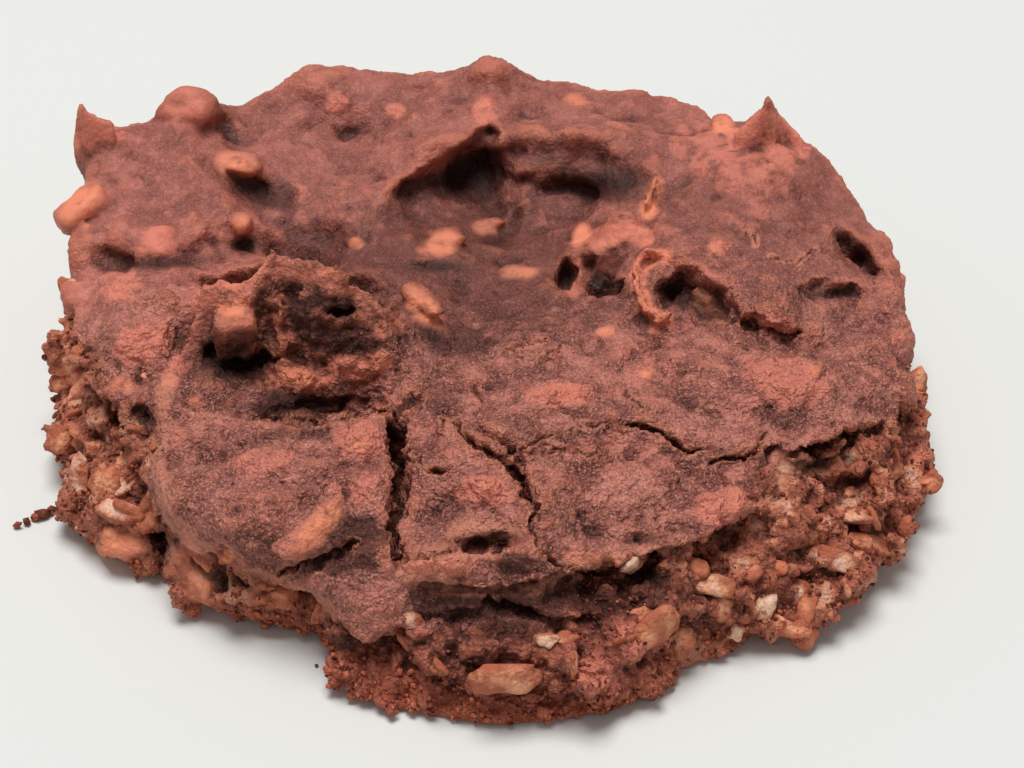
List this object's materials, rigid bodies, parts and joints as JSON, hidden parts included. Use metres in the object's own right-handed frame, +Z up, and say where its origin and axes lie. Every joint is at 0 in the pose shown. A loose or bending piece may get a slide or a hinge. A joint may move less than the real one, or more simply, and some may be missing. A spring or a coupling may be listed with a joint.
{
  "type": "black bean cookie",
  "caption": "Thick round black bean cookie with a cratered, cracked dark crust and torn craggy sides full of oat flakes and nut pieces.",
  "frame": {"origin": "under the middle of the cookie's box, on the plane that it rests on", "axes": "+Z up, -Y towards the front with the long crack"},
  "size_m": [0.0746, 0.0732, 0.0194],
  "materials": {
    "baked_crust": "matte",
    "torn_crumb": "matte",
    "oat_flake": "matte",
    "nut_piece": "matte"
  },
  "bodies": {
    "root": {"cookie": "baked_crust"}
  },
  "joints": []
}
